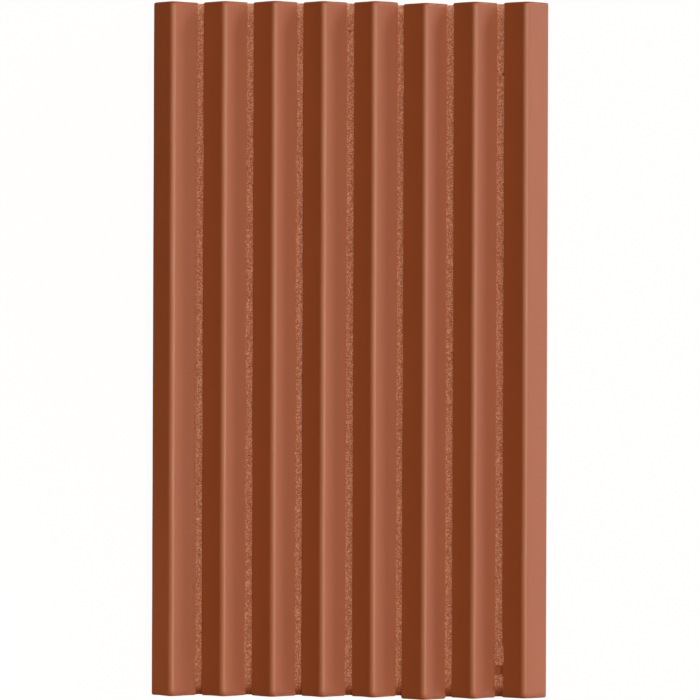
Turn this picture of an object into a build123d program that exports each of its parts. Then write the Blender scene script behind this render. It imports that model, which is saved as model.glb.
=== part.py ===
from build123d import *
import math
import os

# A wall tile sheet: peaked porcelain strips set side by side, with sanded grout between them.
# X runs across the strips, Y along them and Z out from the wall.
# The origin is the middle of the back, and all sizes are in millimetres or degrees.

# Porcelain strips, whose section has upright walls and two flanks that meet in a soft ridge
strip_count = 8
strip_length = 315.8
strip_width = 20.15
wall_height = 5.0
flank_rise = 7.0
ridge_radius = 2.8
shoulder_radius = 0.8
end_draft = 2.0
end_radius = 0.8

# Shallow grooves along the back of each strip, which key it to the adhesive
groove_count = 3
groove_pitch = 5.0
groove_width = 2.4
groove_depth = 0.5

# Grout joints, struck slightly hollow and stopped short of the strips' ends
joint_width = 2.6
grout_hollow = 0.4
grout_setback = 0.5

# The strips are fired and set by hand, so each strays a little in place and length, listed from the left
stray_across = [0.0, -0.1, -0.2, -0.25, -0.05, -0.2, -0.3, 0.0]
stray_along = [-0.1, 0.0, 0.0, 0.0, 0.0, -0.9, -0.3, -0.15]
stray_length = [-0.6, -0.4, -0.1, -0.1, 0.1, 0.4, 0.4, 0.4]

# Sizes that follow from those above
strip_pitch = strip_width + joint_width
flank_angle = math.atan2(flank_rise, strip_width / 2)
shoulder_run = shoulder_radius * math.tan((math.pi / 2 - flank_angle) / 2)
ridge_height = wall_height + flank_rise
grout_height = wall_height - shoulder_run
groove_bend = (groove_width**2 / 4 + groove_depth**2) / (2 * groove_depth)


def centred(places):
    """Shift a list of places so that its lowest and highest lie evenly about zero."""
    middle = (min(places) + max(places)) / 2
    return [place - middle for place in places]


strip_x = centred([
    index * strip_pitch + stray_across[index % len(stray_across)] for index in range(strip_count)
])
strip_y = [stray_along[index % len(stray_along)] for index in range(strip_count)]
strip_reach = [
    (strip_length + stray_length[index % len(stray_length)]) / 2 for index in range(strip_count)
]
sheet_near = min(y - reach for y, reach in zip(strip_y, strip_reach))
sheet_far = max(y + reach for y, reach in zip(strip_y, strip_reach))
strip_y = [y - (sheet_near + sheet_far) / 2 for y in strip_y]


def make_strip(x, y, reach):
    """One pressed strip: its section drawn out along Y, with drafted ends and softened end edges."""
    with BuildPart() as strip:
        with BuildSketch(Plane((x, y, 0), x_dir=(1, 0, 0), z_dir=(0, -1, 0))) as section:
            with BuildLine():
                Polyline(
                    (-strip_width / 2, 0),
                    (strip_width / 2, 0),
                    (strip_width / 2, wall_height),
                    (0, ridge_height),
                    (-strip_width / 2, wall_height),
                    close=True,
                )
            make_face()
            fillet(section.vertices().group_by(Axis.Y)[1], shoulder_radius)
            fillet(section.vertices().sort_by(Axis.Y)[-1], ridge_radius)
            with Locations((0, groove_depth - groove_bend)):
                with GridLocations(groove_pitch, groove_pitch, groove_count, 1):
                    Circle(groove_bend, mode=Mode.SUBTRACT)
        extrude(amount=reach, both=True)
        draft(strip.faces().filter_by(Axis.Y), Plane.XY, end_draft)
        ends = strip.faces().sort_by(Axis.Y)
        end_edges = ends[0].edges() + ends[-1].edges()
        fillet(end_edges.filter_by_position(Axis.Z, groove_depth, ridge_height, (False, True)), end_radius)
    return strip.part


def make_grout(left, right, near, far):
    """One joint: it fills the room between two upright walls up to where their shoulders begin."""
    with BuildPart() as grout:
        with BuildSketch(Plane.XZ.offset(-far)):
            with BuildLine():
                Polyline((left, grout_height), (left, 0), (right, 0), (right, grout_height))
                ThreePointArc(
                    (right, grout_height),
                    ((left + right) / 2, grout_height - grout_hollow),
                    (left, grout_height),
                )
            make_face()
        extrude(amount=far - near)
    return grout.part


os.makedirs("parts", exist_ok=True)

for index in range(strip_count):
    strip = make_strip(strip_x[index], strip_y[index], strip_reach[index])
    strip.label = f"porcelain_strip_{index + 1}"
    export_step(strip, f"parts/{strip.label}.step")

for index in range(strip_count - 1):
    pair = (index, index + 1)
    left = strip_x[index] + strip_width / 2
    right = strip_x[index + 1] - strip_width / 2
    near = max(strip_y[item] - strip_reach[item] for item in pair) + grout_setback
    far = min(strip_y[item] + strip_reach[item] for item in pair) - grout_setback
    grout = make_grout(left, right, near, far)
    grout.label = f"grout_joint_{index + 1}"
    export_step(grout, f"parts/{grout.label}.step")
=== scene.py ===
import math
import random

import bmesh
import bpy
from bpy.props import FloatProperty, FloatVectorProperty, IntProperty, PointerProperty
from mathutils import Matrix, Vector, noise


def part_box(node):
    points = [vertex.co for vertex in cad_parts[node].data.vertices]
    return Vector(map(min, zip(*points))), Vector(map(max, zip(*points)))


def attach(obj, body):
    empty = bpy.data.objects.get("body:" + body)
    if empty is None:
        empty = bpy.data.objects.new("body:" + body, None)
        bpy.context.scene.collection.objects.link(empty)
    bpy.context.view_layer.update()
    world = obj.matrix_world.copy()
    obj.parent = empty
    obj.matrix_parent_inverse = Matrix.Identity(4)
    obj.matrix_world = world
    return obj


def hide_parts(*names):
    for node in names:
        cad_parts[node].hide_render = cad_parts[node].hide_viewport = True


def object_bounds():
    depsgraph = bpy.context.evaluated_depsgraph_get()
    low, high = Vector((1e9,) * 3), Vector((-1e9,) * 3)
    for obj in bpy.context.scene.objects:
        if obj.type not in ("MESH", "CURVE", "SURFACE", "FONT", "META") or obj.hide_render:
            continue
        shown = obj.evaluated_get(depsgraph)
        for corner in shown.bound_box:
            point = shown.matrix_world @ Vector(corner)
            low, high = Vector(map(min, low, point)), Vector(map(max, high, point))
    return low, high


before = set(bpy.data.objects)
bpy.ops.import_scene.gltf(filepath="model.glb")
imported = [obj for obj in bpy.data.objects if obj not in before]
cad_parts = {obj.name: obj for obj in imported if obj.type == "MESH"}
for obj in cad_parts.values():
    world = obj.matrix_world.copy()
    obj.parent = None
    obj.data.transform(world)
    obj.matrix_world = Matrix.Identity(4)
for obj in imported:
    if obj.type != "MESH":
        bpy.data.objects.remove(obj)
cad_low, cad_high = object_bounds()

bl_info = {
    "name": "Ribbed Porcelain Tile",
    "version": (1, 0, 0),
    "blender": (4, 5, 0),
    "location": "View3D > Sidebar > Tile",
    "description": "Finishes the porcelain strips and sanded grout of a ribbed tile sheet",
    "category": "Object",
}

MM = 0.001


def nodes_from_the_left(prefix):
    """Names of the CAD nodes that start with prefix, ordered along X."""
    names = [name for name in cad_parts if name.startswith(prefix)]
    return sorted(names, key=lambda name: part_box(name)[0].x)


STRIP_NODES = nodes_from_the_left("porcelain_strip")
GROUT_NODES = nodes_from_the_left("grout_joint")

# How far each ridge leans to the right of its strip's middle, from the left, in millimetres
RIDGE_LEANS = (-1.12, -0.43, -0.44, -0.77, -0.84, -0.2, -0.56, -0.48)

# How far each joint spreads over the strip on its left and on its right, in millimetres
SPREADS = ((1.1, 0.02), (1.12, 0.15), (1.1, 0.02), (0.5, 0.25), (0.4, 0.2), (0.7, 0.55), (0.35, 0.2))

# Radius in millimetres from which a flaw fills the width of its joint
WIDE_FLAW = 1.2

# Flaws by joint from the left: distance along Y, share across, radius and depth in millimetres.
# A depth below zero is a lump, which also spreads over the shoulders beside it.
# A wide flaw that is sunk has a smooth skin without sand.
FLAWS = {
    3: ((62.6, 0.55, 0.4, 1.0), (61.6, 0.57, 0.4, 1.0), (65.6, 0.4, 0.35, 0.8)),
    4: ((145.2, 0.31, 0.5, 1.2), (119.5, 0.6, 0.4, 1.0), (-140.2, 0.15, 0.45, 0.9)),
    6: ((-1.2, 0.95, 0.5, 1.0),),
    7: (
        (125.9, 0.95, 0.8, 1.3), (2.4, 0.85, 0.45, 1.0), (-145.3, 0.5, 2.6, 0.55),
        (-138.4, 0.5, 5.4, -0.25), (-151.2, 0.5, 4.0, -0.2),
    ),
}

# Loose grains on the flanks by joint: distance along Y, side and distance from the wall in millimetres
LOOSE_GRAINS = {
    3: ((25.2, 1, 0.7), (124.1, 0, 1.9)),
    7: ((-148.9, 1, 0.8), (-154.7, 1, 0.6)),
}

# Distant lamps: name, azimuth from +X towards +Y, elevation and spread in degrees, irradiance,
# and share of the lamp colour in a light that is otherwise white
LAMPS = (
    ("key_light", 0.0, 56.0, 20.0, 1.32, 1.0),
    ("top_light", 55.0, 80.0, 24.0, 0.82, 1.0),
    ("left_top_light", 180.0, 69.0, 20.0, 0.25, 1.0),
    ("left_light", 131.0, 22.0, 20.0, 0.25, 1.0),
    ("right_light", 0.0, 27.0, 20.0, 0.11, 0.13),
    ("low_right_light", 14.0, 5.0, 14.0, 0.4, 0.13),
    ("low_side_light", -13.0, 6.0, 16.0, 0.34, 0.13),
    ("low_edge_light", 3.0, 2.0, 4.0, 0.21, 0.0),
    ("low_far_light", 32.0, 3.5, 8.0, 0.8, 0.13),
    ("low_near_light", -50.0, 3.0, 8.0, 0.36, 0.13),
)


# Settings that a user would change

class StripSettings(bpy.types.PropertyGroup):
    """Shape and finish of the porcelain strips."""

    wall_height: FloatProperty(
        name="Wall height", description="Upright side of a strip, up to the corner of its shoulder",
        default=5.0 * MM, unit="LENGTH",
    )
    ridge_radius: FloatProperty(
        name="Ridge radius", description="Rounding of the ridge", default=2.8 * MM, unit="LENGTH",
    )
    shoulder_radius: FloatProperty(
        name="Shoulder radius", description="Rounding between wall and flank",
        default=0.8 * MM, unit="LENGTH",
    )
    end_radius: FloatProperty(
        name="End radius", description="Rounding round the edge of each end",
        default=0.8 * MM, unit="LENGTH",
    )
    near_wear: FloatProperty(
        name="Near wear", description="How far the ridge and the flanks fall away at the near end",
        default=0.58 * MM, unit="LENGTH",
    )
    wear_length: FloatProperty(
        name="Wear length", description="How far from the near end the wear begins",
        default=3.0 * MM, unit="LENGTH",
    )
    end_draft: FloatProperty(
        name="End draft", description="Lean of the ends that lets a strip leave its mould",
        default=math.radians(2.0), subtype="ANGLE",
    )
    groove_count: IntProperty(
        name="Keying grooves", description="Shallow grooves along the back of a strip", default=3, min=1,
    )
    groove_pitch: FloatProperty(
        name="Groove pitch", description="Distance between keying grooves", default=5.0 * MM, unit="LENGTH",
    )
    groove_width: FloatProperty(
        name="Groove width", description="Width of a keying groove", default=2.4 * MM, unit="LENGTH",
    )
    groove_depth: FloatProperty(
        name="Groove depth", description="Depth of a keying groove", default=0.5 * MM, unit="LENGTH",
    )
    wander: FloatProperty(
        name="Ridge wander", description="How far the ridge strays sideways along a strip",
        default=0.12 * MM, unit="LENGTH",
    )
    ripple: FloatProperty(
        name="Ripple", description="Unevenness of the fired surface", default=0.03 * MM, unit="LENGTH",
    )
    colour: FloatVectorProperty(
        name="Colour", description="Main colour of the fired clay",
        default=(0.36, 0.088, 0.0265), size=3, min=0.0, max=1.0, subtype="COLOR",
    )
    roughness: FloatProperty(
        name="Roughness", description="Satin finish of the front", default=0.42, min=0.0, max=1.0,
        subtype="FACTOR",
    )


class GroutSettings(bpy.types.PropertyGroup):
    """Shape and finish of the grout joints."""

    step: FloatProperty(
        name="Step", description="Spacing of the mesh on the front of a joint",
        default=0.16 * MM, unit="LENGTH",
    )
    stray: FloatProperty(
        name="Stray", description="How far the grout's spread over the strips varies along a joint",
        default=0.26 * MM, unit="LENGTH",
    )
    hollow: FloatProperty(
        name="Hollow", description="Depth of the struck face below its edges",
        default=0.45 * MM, unit="LENGTH",
    )
    grain: FloatProperty(
        name="Grain", description="Spacing of the sand grains", default=0.38 * MM, unit="LENGTH",
    )
    grain_rise: FloatProperty(
        name="Grain rise", description="How far a grain stands out", default=0.26 * MM, unit="LENGTH",
    )
    crumbs: IntProperty(
        name="Crumbs", description="Loose grains along the edges of a joint", default=14, min=0,
    )
    lap: FloatProperty(
        name="Lap", description="How far the grout reaches behind a strip's face",
        default=0.06 * MM, unit="LENGTH",
    )
    dark_sand: FloatVectorProperty(
        name="Dark sand", description="Colour of the darkest grains",
        default=(0.312, 0.092, 0.043), size=3, min=0.0, max=1.0, subtype="COLOR",
    )
    # Painted shade: the dark colour that the sunken near end of each joint gets in place of sand.
    end_painted_shade: FloatVectorProperty(
        name="Painted end shade", description="Colour of the smooth near end of a joint",
        default=(0.212, 0.046, 0.0165), size=3, min=0.0, max=1.0, subtype="COLOR",
    )
    light_sand: FloatVectorProperty(
        name="Light sand", description="Colour of the lightest grains",
        default=(0.78, 0.41, 0.318), size=3, min=0.0, max=1.0, subtype="COLOR",
    )


class StageSettings(bpy.types.PropertyGroup):
    """Camera and studio light."""

    distance: FloatProperty(
        name="Camera height", description="Camera above the back of the tile", default=1.10, unit="LENGTH",
    )
    frame_width: FloatProperty(
        name="Frame width", description="Width of the picture at the height of the shoulders",
        default=318.5 * MM, unit="LENGTH",
    )
    camera_up: FloatProperty(
        name="Camera up", description="How far above the tile's middle the picture's middle lies",
        default=0.15 * MM, unit="LENGTH",
    )
    roll: FloatProperty(
        name="Roll", description="Turn of the camera about its line of sight",
        default=math.radians(0.2), subtype="ANGLE",
    )
    lamp_colour: FloatVectorProperty(
        name="Lamp colour", description="Colour of the warmest lamps",
        default=(1.0, 0.83, 0.62), size=3, min=0.0, max=1.0, subtype="COLOR",
    )
    corner_power: FloatProperty(
        name="Corner light", description="Small low lamp that brightens the near end of the left edge",
        default=0.12, min=0.0,
    )
    fill: FloatProperty(
        name="Fill", description="Strength of the even light from all round", default=0.02, min=0.0,
    )


# Shader nodes

class Shade:
    """One socket of a node tree. Arithmetic on it adds Math nodes."""

    def __init__(self, tree, socket):
        self.tree = tree
        self.socket = socket

    def _math(self, operation, first, second):
        made = self.tree.nodes.new("ShaderNodeMath")
        made.operation = operation
        for socket, value in zip(made.inputs, (first, second)):
            if isinstance(value, Shade):
                self.tree.links.new(value.socket, socket)
            else:
                socket.default_value = value
        return Shade(self.tree, made.outputs[0])

    def __add__(self, other):
        return self._math("ADD", self, other)

    def __radd__(self, other):
        return self._math("ADD", other, self)

    def __mul__(self, other):
        return self._math("MULTIPLY", self, other)

    def __rmul__(self, other):
        return self._math("MULTIPLY", other, self)


class Finish:
    """Node tree of one material or of the world."""

    def __init__(self, tree):
        self.tree = tree
        self.tree.nodes.clear()

    def node(self, kind, settings=None, sockets=None, output=None):
        """Add a node, set its settings, fill its sockets by name or identifier, return one output."""
        made = self.tree.nodes.new(kind)
        for name, value in (settings or {}).items():
            setattr(made, name, value)
        for name, value in (sockets or {}).items():
            socket = self._find(made.inputs, name)
            if isinstance(value, Shade):
                self.tree.links.new(value.socket, socket)
            else:
                socket.default_value = value
        if not made.outputs:
            return None
        return Shade(self.tree, self._find(made.outputs, output) if output else made.outputs[0])

    def _find(self, sockets, name):
        return next(item for item in sockets if name in (item.identifier, item.name))

    def mix(self, factor, first, second):
        """Blend two colours."""
        return self.node(
            "ShaderNodeMix", {"data_type": "RGBA"},
            {"Factor_Float": factor, "A_Color": first, "B_Color": second}, "Result_Color",
        )

    def noise(self, place, scale, detail):
        """Soft noise from 0 to 1."""
        return self.node(
            "ShaderNodeTexNoise", {"normalize": True},
            {"Vector": place, "Scale": scale, "Detail": detail}, "Fac",
        )

    def ramp(self, value, start, stop):
        """Ease from 0 to 1 between two values."""
        return self.node(
            "ShaderNodeMapRange", {"interpolation_type": "SMOOTHSTEP"},
            {"Value": value, "From Min": start, "From Max": stop}, "Result",
        )


def new_finish(name):
    """Start a material with an empty node tree."""
    material = bpy.data.materials.new(name)
    material.use_nodes = True
    return material, Finish(material.node_tree)


def tinted(colour, factor):
    """A colour made lighter or darker, with alpha."""
    return (*(channel * factor for channel in colour), 1.0)


def porcelain_finish(settings):
    """Satin fired clay: faint clouding, fine specks and a slight unevenness of gloss."""
    material, finish = new_finish("terracotta_porcelain")
    place = finish.node("ShaderNodeTexCoord", output="Object")
    cloud = finish.noise(place, 60.0, 3.0)
    speck = finish.noise(place, 2200.0, 2.0)
    tone = cloud * 0.6 + speck * 0.4
    colour = finish.mix(tone, tinted(settings.colour, 0.93), tinted(settings.colour, 1.07))
    gloss = settings.roughness - 0.05 + 0.1 * cloud
    skin = finish.noise(place, 900.0, 3.0)
    bump = finish.node("ShaderNodeBump", None, {"Strength": 0.15, "Distance": 0.05 * MM, "Height": skin})
    surface = finish.node(
        "ShaderNodeBsdfPrincipled", None,
        {"Base Color": colour, "Roughness": gloss, "Normal": bump, "IOR": 1.66},
    )
    finish.node("ShaderNodeOutputMaterial", None, {"Surface": surface})
    return material


def grout_finish(settings):
    """Rough sanded cement: grains of differing tone in a matt binder, with painted light at the far end of
    each joint and painted shade at its near end.
    """
    material, finish = new_finish("sanded_grout")
    place = finish.node("ShaderNodeTexCoord", output="Object")
    grains = finish.node(
        "ShaderNodeTexVoronoi", {"feature": "F1"},
        {"Vector": place, "Scale": 1.0 / settings.grain}, "Color",
    )
    grain_tone = finish.node("ShaderNodeSeparateColor", None, {"Color": grains}, "Red")
    cloud = finish.noise(place, 250.0, 3.0)
    along = finish.node("ShaderNodeSeparateXYZ", None, {"Vector": place}, "Y")
    # Painted light: the sand is made lighter over the last millimetres of the far end, where light from the
    # far side falls.
    far_painted_light = (cad_high.y - 8 * MM, cad_high.y - 1 * MM)
    # Painted shade: towards the near end the sand gives way to the dark end shade colour.
    near_painted_shade = (cad_low.y + 3.0 * MM, cad_low.y + 9.0 * MM)
    painted_far_light = finish.ramp(along, *far_painted_light)
    sandy = finish.ramp(along + cloud * MM, *near_painted_shade)
    # Colour where no sand shows: painted end shade at the near end, dark sand in a wide break.
    bare = finish.mix(sandy, tinted(settings.end_painted_shade, 1.0), tinted(settings.dark_sand, 1.0))
    for number, flaws in FLAWS.items():
        low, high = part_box(GROUT_NODES[number - 1])
        for y, share, radius, depth in flaws:
            if radius >= WIDE_FLAW and depth > 0.0:
                centre = (low.x + share * (high.x - low.x), y * MM, high.z)
                away = finish.node(
                    "ShaderNodeVectorMath", {"operation": "DISTANCE"},
                    {"Vector": place, "Vector_001": centre}, "Value",
                )
                sandy = sandy * finish.ramp(away, 0.8 * radius * MM, radius * MM)
    # The painted light adds to the sand's tone towards the far end.
    tone = (grain_tone * grain_tone * 0.85 + cloud * 0.1 + painted_far_light * 0.4) * sandy
    colour = finish.mix(tone, bare, tinted(settings.light_sand, 1.0))
    fine = finish.noise(place, 4000.0, 2.0)
    bump = finish.node("ShaderNodeBump", None, {"Strength": 0.5, "Distance": 0.1 * MM, "Height": fine})
    surface = finish.node(
        "ShaderNodeBsdfPrincipled", None,
        {"Base Color": colour, "Roughness": 0.9, "Normal": bump, "IOR": 1.3},
    )
    finish.node("ShaderNodeOutputMaterial", None, {"Surface": surface})
    return material


# Helpers for meshes

def add_piece(name, bm, material, node):
    """Turn a bmesh into a piece that rides on the tile and stands for a CAD node."""
    mesh = bpy.data.meshes.new(name)
    bm.to_mesh(mesh)
    bm.free()
    mesh.materials.append(material)
    mesh.shade_smooth()
    piece = bpy.data.objects.new(name, mesh)
    bpy.context.scene.collection.objects.link(piece)
    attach(piece, "root")
    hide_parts(node)
    return piece


def long_edges(bm, length):
    """Edges that run most of the way along Y."""
    return [edge for edge in bm.edges if abs(edge.verts[0].co.y - edge.verts[1].co.y) > length / 2]


def round_edges(bm, edges, offset, segments):
    """Replace edges by a round of that many segments."""
    bmesh.ops.bevel(
        bm, geom=edges, offset=offset, offset_type="OFFSET", affect="EDGES", segments=segments,
        profile=0.5, material=-1, clamp_overlap=False,
    )


def smooth_step(value):
    """Ease from 0 to 1."""
    value = min(max(value, 0.0), 1.0)
    return value * value * (3.0 - 2.0 * value)


# Strips

class StripShape:
    """Sizes of one strip's section that follow from its settings and its CAD node."""

    def __init__(self, settings, node):
        self.low, self.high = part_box(node)
        self.settings = settings
        self.middle = (self.low.x + self.high.x) / 2
        half = (self.high.x - self.low.x) / 2
        rise = self.high.z - settings.wall_height
        radius = settings.ridge_radius
        lean = math.atan2(radius - rise, half)
        self.flank_angle = math.asin(radius / math.hypot(half, radius - rise)) - lean
        self.peak = settings.wall_height + half * math.tan(self.flank_angle)
        self.ridge_run = radius * math.tan(self.flank_angle)
        self.shoulder_run = settings.shoulder_radius * math.tan((math.pi / 2 - self.flank_angle) / 2)
        self.shoulder_start = settings.wall_height - self.shoulder_run

    def surface(self, inset):
        """Height of the shoulder or the flank at a distance in from the wall."""
        radius = self.settings.shoulder_radius
        turn = math.pi / 2 - self.flank_angle
        shoulder = radius * (1.0 - math.cos(turn))
        if inset < shoulder:
            return self.shoulder_start + math.sqrt(radius * radius - (radius - inset) ** 2)
        flank_start = self.shoulder_start + radius * math.sin(turn)
        return flank_start + (inset - shoulder) * math.tan(self.flank_angle)

    def section(self):
        """Corners of the section, from the left of the back round by the right to the ridge."""
        groove_steps = 6
        settings = self.settings
        points = [(self.low.x, 0.0)]
        for index in range(settings.groove_count):
            centre = self.middle + (index - (settings.groove_count - 1) / 2) * settings.groove_pitch
            for step in range(groove_steps + 1):
                across = 2 * step / groove_steps - 1
                x = centre + across * settings.groove_width / 2
                points.append((x, settings.groove_depth * (1 - across * across)))
        points.append((self.high.x, 0.0))
        points.append((self.high.x, settings.wall_height))
        points.append((self.middle, self.peak))
        points.append((self.low.x, settings.wall_height))
        return points


def draw_strip(shape):
    """Draw the section out along Y, then round its ridge, shoulders and ends."""
    ridge_segments = 12
    shoulder_segments = 8
    rim_segments = 4
    tolerance = 0.01 * MM
    settings = shape.settings
    length = shape.high.y - shape.low.y
    centre_y = (shape.low.y + shape.high.y) / 2
    bm = bmesh.new()
    corners = [bm.verts.new((x, shape.low.y, z)) for x, z in shape.section()]
    end = bm.faces.new(corners)
    drawn = bmesh.ops.extrude_face_region(bm, geom=[end])["geom"]
    far = [item for item in drawn if isinstance(item, bmesh.types.BMVert)]
    bmesh.ops.translate(bm, verts=far, vec=(0.0, length, 0.0))
    bmesh.ops.recalc_face_normals(bm, faces=bm.faces)
    for vert in bm.verts:
        vert.co.y -= math.copysign(vert.co.z * math.tan(settings.end_draft), vert.co.y - centre_y)
    tops = long_edges(bm, length)
    ridge = [edge for edge in tops if edge.verts[0].co.z > (settings.wall_height + shape.peak) / 2]
    round_edges(bm, ridge, shape.ridge_run, ridge_segments)
    shoulders = [
        edge for edge in long_edges(bm, length)
        if abs(edge.verts[0].co.z - settings.wall_height) < tolerance
    ]
    round_edges(bm, shoulders, shape.shoulder_run, shoulder_segments)
    ends = [face for face in bm.faces if abs(face.normal.y) > 0.9]
    back = settings.groove_depth + tolerance
    rims = {edge for face in ends for edge in face.edges}
    rims = [edge for edge in rims if max(vert.co.z for vert in edge.verts) > back]
    round_edges(bm, rims, settings.end_radius, rim_segments)
    return bm


def divide_strip(bm, shape):
    """Cut a strip into short lengths and narrow columns, so that it can be made uneven."""
    end_zone = 2.0 * MM
    row = 1.5 * MM
    column = 1.8 * MM
    length = shape.high.y - shape.low.y
    near_cuts = (1.5 * MM, end_zone, 2.5 * MM, shape.settings.wear_length)
    planes = [((0, shape.low.y + cut, 0), (0, 1, 0)) for cut in near_cuts]
    planes.append(((0, shape.high.y - end_zone, 0), (0, 1, 0)))
    for side in (-1, 1):
        for index in range(1, 5):
            x = shape.middle + side * (shape.ridge_run * 0.9 + index * column)
            planes.append(((x, 0, 0), (1, 0, 0)))
    for point, normal in planes:
        geometry = bm.verts[:] + bm.edges[:] + bm.faces[:]
        bmesh.ops.bisect_plane(bm, geom=geometry, dist=1e-7, plane_co=point, plane_no=normal)
    cuts = int((length - 2 * end_zone) / row)
    bmesh.ops.subdivide_edges(bm, edges=long_edges(bm, length), cuts=cuts, use_grid_fill=True)


def make_uneven(bm, shape, lean, seed):
    """Lean the ridge, let it wander, ripple the faces, and let the ends stray and the near end wear."""
    ridge_wave = 38 * MM
    ripple_width = 9 * MM
    ripple_length = 24 * MM
    end_wave = 6 * MM
    end_zone = 1.6 * MM
    end_stray = 0.12 * MM
    end_reach = 0.12 * MM
    settings = shape.settings
    for vert in bm.verts:
        place = vert.co.copy()
        if place.z < settings.groove_depth:
            continue
        height = max(place.z - settings.wall_height, 0.0) / (shape.high.z - settings.wall_height)
        side = noise.noise(Vector((seed, place.y / ridge_wave, 0.0)))
        swell = noise.noise(Vector((place.x / ripple_width, place.y / ripple_length, seed)))
        to_end = min(place.y - shape.low.y, shape.high.y - place.y)
        near_end = 1.0 - smooth_step(to_end / end_zone)
        end = noise.noise(Vector((place.x / end_wave, seed, math.copysign(3.0, place.y))))
        vert.co.x += (lean + settings.wander * side) * height
        vert.co += vert.normal * settings.ripple * swell
        vert.co.y += (end_stray * end + math.copysign(end_reach, place.y)) * near_end
        worn = max(1.0 - (place.y - shape.low.y) / settings.wear_length, 0.0)
        vert.co.z -= settings.near_wear * worn * worn * smooth_step(3.0 * height)


class TILE_OT_strips(bpy.types.Operator):
    """Model the fired porcelain strips"""

    bl_idname = "tile.strips"
    bl_label = "Porcelain strips"

    def execute(self, context):
        settings = context.scene.tile_strips
        material = porcelain_finish(settings)
        for index, node in enumerate(STRIP_NODES):
            shape = StripShape(settings, node)
            bm = draw_strip(shape)
            divide_strip(bm, shape)
            bm.normal_update()
            seed = 7.3 * (index + 1)
            make_uneven(bm, shape, RIDGE_LEANS[index] * MM, seed)
            piece = add_piece(f"fired_strip_{index + 1}", bm, material, node)
            piece.data.set_sharp_from_angle(angle=math.radians(40.0))
            weighted = piece.modifiers.new("even_normals", "WEIGHTED_NORMAL")
            weighted.keep_sharp = True
        return {"FINISHED"}


# Grout

def grain_height(place, spacing):
    """Sand grains from 0 to 1: each grain is a small dome, and some stand higher than others."""
    distances, points = noise.voronoi(place / spacing)
    dome = max(1.0 - distances[0] * distances[0] * 1.6, 0.0)
    share = 0.5 + 0.5 * noise.cell(points[0] * 7.0)
    return dome * share


class Joint:
    """Room between two strips, and the front of the grout that fills it."""

    near_reach = 0.25 * MM

    def __init__(self, settings, node, strips, number):
        self.settings = settings
        self.low, self.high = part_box(node)
        self.low.y -= self.near_reach
        self.sides = ((strips[0], strips[0].high.x, -1.0), (strips[1], strips[1].low.x, 1.0))
        self.flaws = [
            (along * MM, share, radius * MM, depth * MM)
            for along, share, radius, depth in FLAWS.get(number, ())
        ]
        self.loose = LOOSE_GRAINS.get(number, ())
        self.spreads = [spread * MM for spread in SPREADS[number - 1]]
        self.seed = 11.7 * number

    def spread(self, side, along):
        """How far the grout covers a strip, measured from its wall."""
        slow_wave = 45 * MM
        quick_wave = 9 * MM
        ragged_wave = 0.9 * MM
        least = 0.02 * MM
        slow = noise.noise(Vector((self.seed, along / slow_wave, 5.0 * side)))
        quick = noise.noise(Vector((self.seed, along / quick_wave, 5.0 * side + 2.0)))
        ragged = noise.noise(Vector((self.seed, along / ragged_wave, 5.0 * side + 4.0)))
        reach = self.spreads[side] + self.settings.stray * (0.6 * slow + 0.6 * quick + 0.3 * ragged)
        for place, _, radius, depth in self.flaws:
            if depth < 0.0:
                reach -= 2.0 * depth * self.plateau(abs(along - place) / radius)
        return max(reach, least)

    def plateau(self, away):
        """Full over the inner half of a flaw, then easing to nothing at its edge."""
        return 1.0 - smooth_step(2.0 * away - 1.0)

    def sink(self, x, along):
        """How far the front lies below its plain shape: at its ends, the near one deeper, and in flaws."""
        far_length = 0.6 * MM
        far_depth = 0.3 * MM
        near_length = 3.0 * MM
        near_depth = 1.2 * MM
        ragged = 1.0 + 0.5 * noise.noise(Vector((x / (0.8 * MM), self.seed, along / (3 * MM))))
        far = 1.0 - smooth_step((self.high.y - along) / (far_length * ragged))
        near = max(1.0 - (along - self.low.y) / (near_length * ragged), 0.0)
        depth = far_depth * far + near_depth * near * near
        for place, share, radius, deep in self.flaws:
            across = x - self.low.x - share * (self.high.x - self.low.x)
            away = math.hypot(across if radius < WIDE_FLAW * MM else 0.0, along - place) / radius
            if away < 1.0:
                depth += deep * self.plateau(away)
        return depth

    def sandy(self, along):
        """Share of the front that sand covers: none in a wide break."""
        bare = 0.0
        for place, _, radius, depth in self.flaws:
            if radius >= WIDE_FLAW * MM and depth > 0.0:
                bare = max(bare, self.plateau(abs(along - place) / radius))
        return 1.0 - bare

    def rim(self, along):
        """Left and right end of the plain front at a distance along the joint."""
        points = []
        for side, (strip, wall, inwards) in enumerate(self.sides):
            spread = self.spread(side, along)
            height = strip.surface(spread) - self.settings.lap
            points.append(Vector((wall + inwards * spread, along, height)))
        return points

    def front(self, rim, share):
        """A point of the front, a share of the way from the left end of its row to the right."""
        middle_grain = 0.4
        trowel_rise = 0.07 * MM
        trowel_wave = 2.4 * MM
        point = rim[0].lerp(rim[1], share)
        swell = 4.0 * share * (1.0 - share)
        inner = min(2.0 * swell, 1.0)
        place = Vector((point.x, point.y, self.seed * MM))
        sand = (grain_height(place, self.settings.grain) - middle_grain) * self.sandy(point.y)
        trowel = noise.noise(place / trowel_wave)
        point.z += inner * (self.settings.grain_rise * sand + trowel_rise * trowel)
        point.z -= self.settings.hollow * swell + self.sink(point.x, point.y)
        if point.z < self.sides[0][0].shoulder_start:
            lap = self.settings.lap
            point.x = min(max(point.x, self.low.x - lap), self.high.x + lap)
        return point


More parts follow.
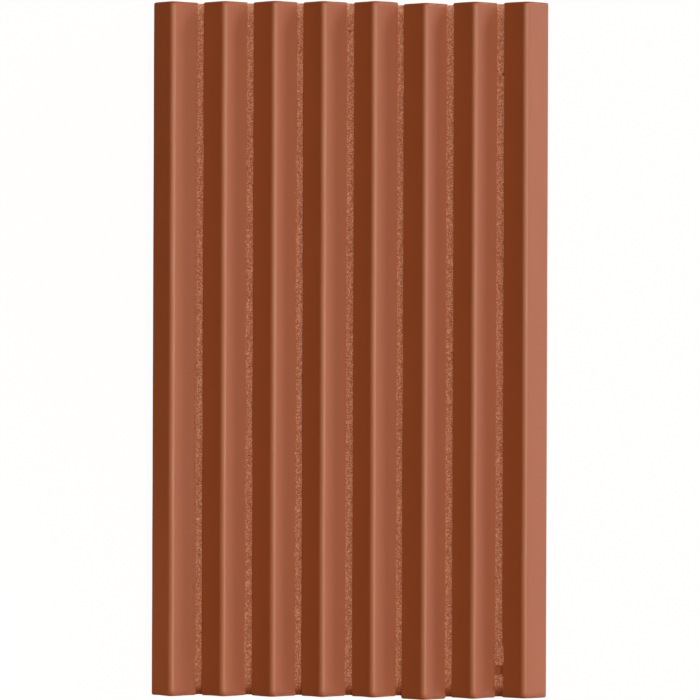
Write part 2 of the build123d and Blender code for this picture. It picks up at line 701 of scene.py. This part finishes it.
class TILE_OT_grout(bpy.types.Operator):
    """Model the sanded grout joints"""

    bl_idname = "tile.grout"
    bl_label = "Grout joints"

    def execute(self, context):
        settings = context.scene.tile_grout
        material = grout_finish(settings)
        strips = [StripShape(context.scene.tile_strips, node) for node in STRIP_NODES]
        for index, node in enumerate(GROUT_NODES):
            joint = Joint(settings, node, strips[index:index + 2], index + 1)
            bm = self.fill(joint)
            self.scatter(bm, joint)
            add_piece(f"sanded_joint_{index + 1}", bm, material, node)
        return {"FINISHED"}

    def fill(self, joint):
        """Lay a fine grid over the joint, shape it, and close it with sides and a back."""
        settings = joint.settings
        width = joint.high.x - joint.low.x
        length = joint.high.y - joint.low.y
        bm = bmesh.new()
        bmesh.ops.create_grid(
            bm, x_segments=int(width / settings.step), y_segments=int(length / settings.step), size=0.5,
        )
        rims = {}
        for vert in bm.verts:
            along = joint.low.y + (vert.co.y + 0.5) * length
            if along not in rims:
                rims[along] = joint.rim(along)
            vert.co = joint.front(rims[along], vert.co.x + 0.5)
        base = [edge for edge in bm.edges if edge.is_boundary]
        foot = 0.3 * MM
        shoulder = joint.sides[0][0].shoulder_start
        for at_back in (False, True):
            sunk = bmesh.ops.extrude_edge_only(bm, edges=base)["geom"]
            for vert in (item for item in sunk if isinstance(item, bmesh.types.BMVert)):
                vert.co.x = min(max(vert.co.x, joint.low.x), joint.high.x)
                vert.co.z = 0.0 if at_back else min(vert.co.z, shoulder) - foot
            base = [item for item in sunk if isinstance(item, bmesh.types.BMEdge) and item.is_boundary]
        sides = [
            edge for edge in base
            if abs(edge.verts[0].co.y - edge.verts[1].co.y) > 0.5 * settings.step
        ]
        bmesh.ops.bridge_loops(bm, edges=sides)
        bmesh.ops.holes_fill(bm, edges=[edge for edge in bm.edges if edge.is_boundary], sides=0)
        bmesh.ops.recalc_face_normals(bm, faces=bm.faces)
        if bm.calc_volume(signed=True) < 0.0:
            bmesh.ops.reverse_faces(bm, faces=bm.faces)
        return bm

    def scatter(self, bm, joint):
        """Loose grains that stick to the flanks beside the joint."""
        chance = random.Random(int(joint.seed * 10))
        large = 0.24 * MM
        end_zone = 3 * MM
        grains = [(along * MM, side, away * MM, large) for along, side, away in joint.loose]
        for _ in range(joint.settings.crumbs):
            along = chance.uniform(joint.low.y + end_zone, joint.high.y - end_zone)
            side = chance.randrange(2)
            away = joint.spread(side, along) + chance.uniform(0.05, 0.6) * MM
            grains.append((along, side, away, chance.uniform(0.08, 0.17) * MM))
        for along, side, away, radius in grains:
            strip, wall, inwards = joint.sides[side]
            place = Vector((wall + inwards * away, along, strip.surface(away) + 0.3 * radius))
            bmesh.ops.create_icosphere(bm, subdivisions=1, radius=radius, matrix=Matrix.Translation(place))


# Stage

def floor_finish():
    """White floor that keeps the tile's shadow."""
    material, finish = new_finish("studio_floor")
    path = {
        name: finish.node("ShaderNodeLightPath", output=name)
        for name in ("Is Camera Ray", "Is Glossy Ray", "Is Transmission Ray")
    }
    seen = path["Is Camera Ray"] + 0.02 * (path["Is Glossy Ray"] + path["Is Transmission Ray"])
    shade = finish.mix(path["Is Camera Ray"], (0.15, 0.15, 0.15, 1.0), (0.9, 0.9, 0.9, 1.0))
    matt = finish.node("ShaderNodeBsdfDiffuse", None, {"Color": shade})
    bright = finish.node("ShaderNodeEmission", None, {"Color": (1.0, 1.0, 1.0, 1.0), "Strength": 1.03})
    surface = finish.node(
        "ShaderNodeMixShader", None, {"Fac": seen * 0.92, "Shader": matt, "Shader_001": bright},
    )
    finish.node("ShaderNodeOutputMaterial", None, {"Surface": surface})
    return material


def world_light(settings):
    """Even light from all round, with a white background for the camera."""
    world = bpy.data.worlds.new("studio_world")
    world.use_nodes = True
    bpy.context.scene.world = world
    finish = Finish(world.node_tree)
    seen = finish.node("ShaderNodeLightPath", output="Is Camera Ray")
    even = finish.node(
        "ShaderNodeBackground", None, {"Color": (1.0, 1.0, 1.0, 1.0), "Strength": settings.fill},
    )
    white = finish.node("ShaderNodeBackground", None, {"Color": (1.0, 1.0, 1.0, 1.0), "Strength": 1.0})
    surface = finish.node("ShaderNodeMixShader", None, {"Fac": seen, "Shader": even, "Shader_001": white})
    finish.node("ShaderNodeOutputWorld", None, {"Surface": surface})


class TILE_OT_stage(bpy.types.Operator):
    """Set the floor, the studio light and the camera"""

    bl_idname = "tile.stage"
    bl_label = "Stage"

    def execute(self, context):
        settings = context.scene.tile_stage
        self.lay_floor()
        world_light(settings)
        for name, azimuth, elevation, spread, strength, warmth in LAMPS:
            light = bpy.data.lights.new(name, "SUN")
            light.color = [1.0 + warmth * (channel - 1.0) for channel in settings.lamp_colour]
            light.angle = math.radians(spread)
            light.energy = strength
            lamp = bpy.data.objects.new(name, light)
            lamp.rotation_euler = (0.0, math.radians(90.0 - elevation), math.radians(azimuth))
            context.scene.collection.objects.link(lamp)
        self.light_corner(settings)
        self.place_camera(settings)
        context.scene.view_settings.view_transform = "Standard"
        return {"FINISHED"}

    def lay_floor(self):
        """A large floor just below the back of the tile."""
        gap = 0.2 * MM
        bm = bmesh.new()
        bmesh.ops.create_grid(bm, x_segments=1, y_segments=1, size=3.0)
        bmesh.ops.translate(bm, verts=bm.verts, vec=(0.0, 0.0, -gap))
        mesh = bpy.data.meshes.new("studio_floor")
        bm.to_mesh(mesh)
        bm.free()
        mesh.materials.append(floor_finish())
        floor = bpy.data.objects.new("studio_floor", mesh)
        bpy.context.scene.collection.objects.link(floor)

    def light_corner(self, settings):
        """A small lamp beside the near end of the left edge, not seen in the gloss."""
        aside, along, height = 115 * MM, 28 * MM, 10 * MM
        light = bpy.data.lights.new("corner_light", "POINT")
        light.energy = settings.corner_power
        light.shadow_soft_size = 3.0 * MM
        lamp = bpy.data.objects.new("corner_light", light)
        lamp.location = (cad_low.x - aside, cad_low.y + along, height)
        lamp.visible_camera = False
        lamp.visible_glossy = False
        bpy.context.scene.collection.objects.link(lamp)

    def place_camera(self, settings):
        """A camera over the middle of the tile, which looks straight down."""
        shoulder = bpy.context.scene.tile_strips.wall_height
        data = bpy.data.cameras.new("camera")
        data.lens = data.sensor_width * (settings.distance - shoulder) / settings.frame_width
        data.shift_y = settings.camera_up / settings.frame_width
        camera = bpy.data.objects.new("camera", data)
        camera.location = (0.0, 0.0, settings.distance)
        camera.rotation_euler = (0.0, 0.0, settings.roll)
        bpy.context.scene.collection.objects.link(camera)
        bpy.context.scene.camera = camera


class TILE_PT_panel(bpy.types.Panel):
    """Lists the tile's steps and settings"""

    bl_idname = "TILE_PT_panel"
    bl_label = "Tile"
    bl_space_type = "VIEW_3D"
    bl_region_type = "UI"
    bl_category = "Tile"

    def draw(self, context):
        for operator, settings in STEPS:
            self.layout.operator(operator)
            group = getattr(context.scene, settings)
            for name in group.__annotations__:
                self.layout.prop(group, name)


STEPS = (("tile.strips", "tile_strips"), ("tile.grout", "tile_grout"), ("tile.stage", "tile_stage"))
GROUPS = {"tile_strips": StripSettings, "tile_grout": GroutSettings, "tile_stage": StageSettings}
CLASSES = (
    StripSettings, GroutSettings, StageSettings,
    TILE_OT_strips, TILE_OT_grout, TILE_OT_stage, TILE_PT_panel,
)


def register():
    for item in CLASSES:
        bpy.utils.register_class(item)
    for name, group in GROUPS.items():
        setattr(bpy.types.Scene, name, PointerProperty(type=group))


def unregister():
    for name in GROUPS:
        delattr(bpy.types.Scene, name)
    for item in reversed(CLASSES):
        bpy.utils.unregister_class(item)


def main():
    register()
    bpy.ops.tile.strips()
    bpy.ops.tile.grout()
    bpy.ops.tile.stage()


if __name__ == "__main__":
    main()
